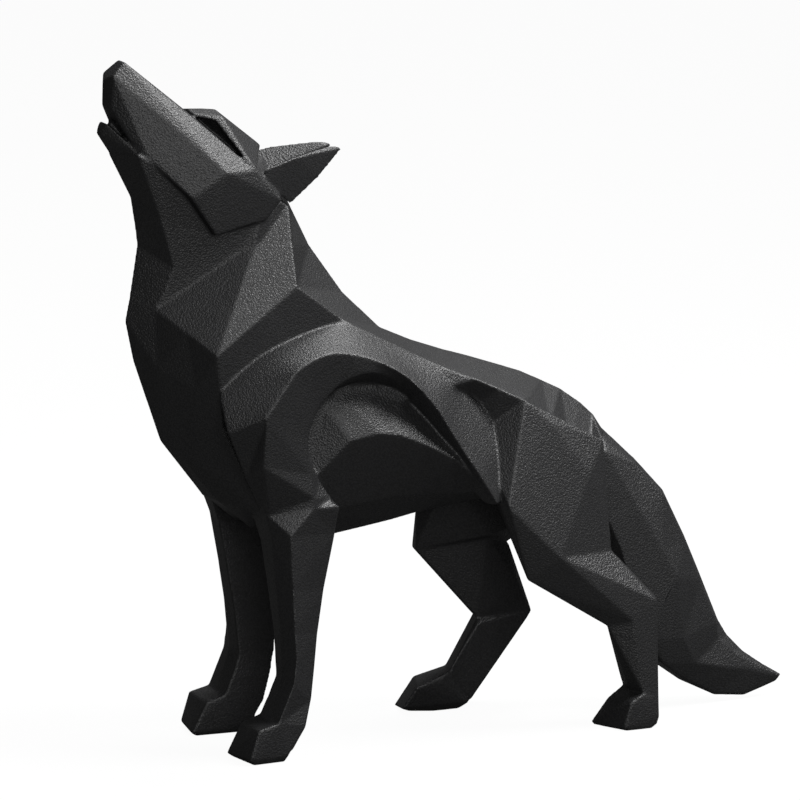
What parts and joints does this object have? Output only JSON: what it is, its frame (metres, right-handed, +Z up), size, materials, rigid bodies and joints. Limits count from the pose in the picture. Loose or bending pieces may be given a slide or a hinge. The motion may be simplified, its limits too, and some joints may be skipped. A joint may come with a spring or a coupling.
{
  "type": "wolf figurine",
  "caption": "Howling wolf standing with its head raised, shaped in flat facets and cast solid in matte black resin; a shelf or desk ornament.",
  "frame": {"origin": "on the surface the soles stand on, under the middle of the figure's bounding box", "axes": "+Z up, -Y the way the wolf's muzzle points, +X the wolf's left side"},
  "size_m": [0.076, 0.2656, 0.25],
  "materials": {
    "resin": "matte black with a fine pebbled grain"
  },
  "bodies": {
    "root": {"wolf": "resin"}
  },
  "joints": []
}
